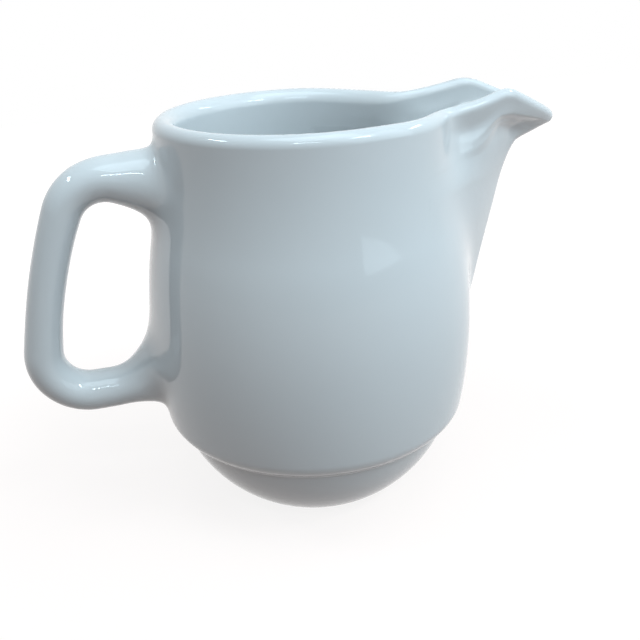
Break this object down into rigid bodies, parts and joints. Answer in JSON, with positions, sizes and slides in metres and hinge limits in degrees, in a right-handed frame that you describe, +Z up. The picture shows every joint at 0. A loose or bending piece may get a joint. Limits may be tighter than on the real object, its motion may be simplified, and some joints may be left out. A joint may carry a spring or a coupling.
{
  "type": "porcelain jug",
  "caption": "Small glazed porcelain milk jug with a pulled beak spout, a loop handle and a ring step low on the body.",
  "frame": {"origin": "centre of the flat foot, on the surface the jug stands on and on the axis of its round body", "axes": "+X towards the spout, +Y across, +Z up; the handle is on -X"},
  "size_m": [0.1291, 0.0764, 0.0956],
  "materials": {
    "porcelain": "gloss"
  },
  "bodies": {
    "root": {"jug": "porcelain"}
  },
  "joints": []
}
